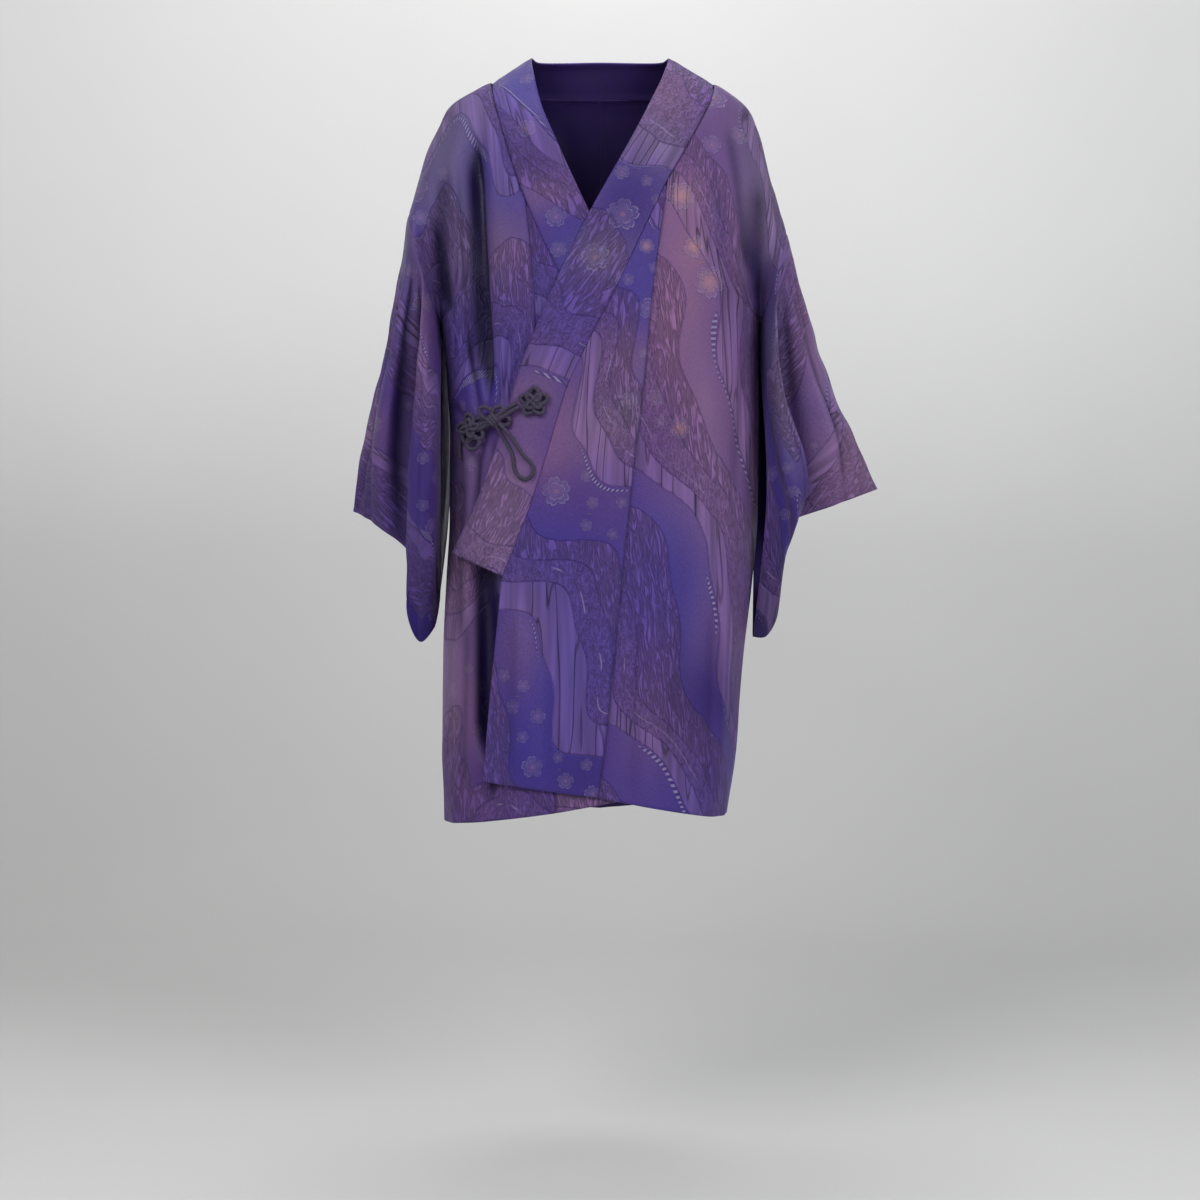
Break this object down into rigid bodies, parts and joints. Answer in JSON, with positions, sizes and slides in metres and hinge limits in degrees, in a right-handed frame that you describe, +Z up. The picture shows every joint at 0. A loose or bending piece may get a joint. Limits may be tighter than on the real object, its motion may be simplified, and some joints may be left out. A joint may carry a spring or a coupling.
{
  "type": "kimono coat",
  "caption": "Knee-length silk kimono coat with bag sleeves, wrapped left over right and closed at the side by an ornamental knotted cord.",
  "frame": {"origin": "between the shoulders at the height of the neck point, where the wearer carries the coat", "axes": "+Z up, -Y the way the wearer faces, +X the wearer's left"},
  "size_m": [0.6345, 0.2727, 0.9425],
  "materials": {
    "body_right": "matte crepe with a soft silk sheen",
    "body_left": "matte crepe with a soft silk sheen",
    "okumi_right": "matte crepe with a soft silk sheen",
    "okumi_left": "matte crepe with a soft silk sheen",
    "collar": "matte crepe with a soft silk sheen",
    "sleeve_right": "matte crepe with a soft silk sheen",
    "sleeve_left": "matte crepe with a soft silk sheen",
    "cord": "matte twisted silk cord"
  },
  "bodies": {
    "root": {"body_right": "body_right", "body_left": "body_left", "okumi_right": "okumi_right", "okumi_left": "okumi_left", "collar": "collar", "sleeve_right": "sleeve_right", "sleeve_left": "sleeve_left", "knot_collar": "cord", "knot_front": "cord", "tie_loop": "cord"}
  },
  "joints": []
}
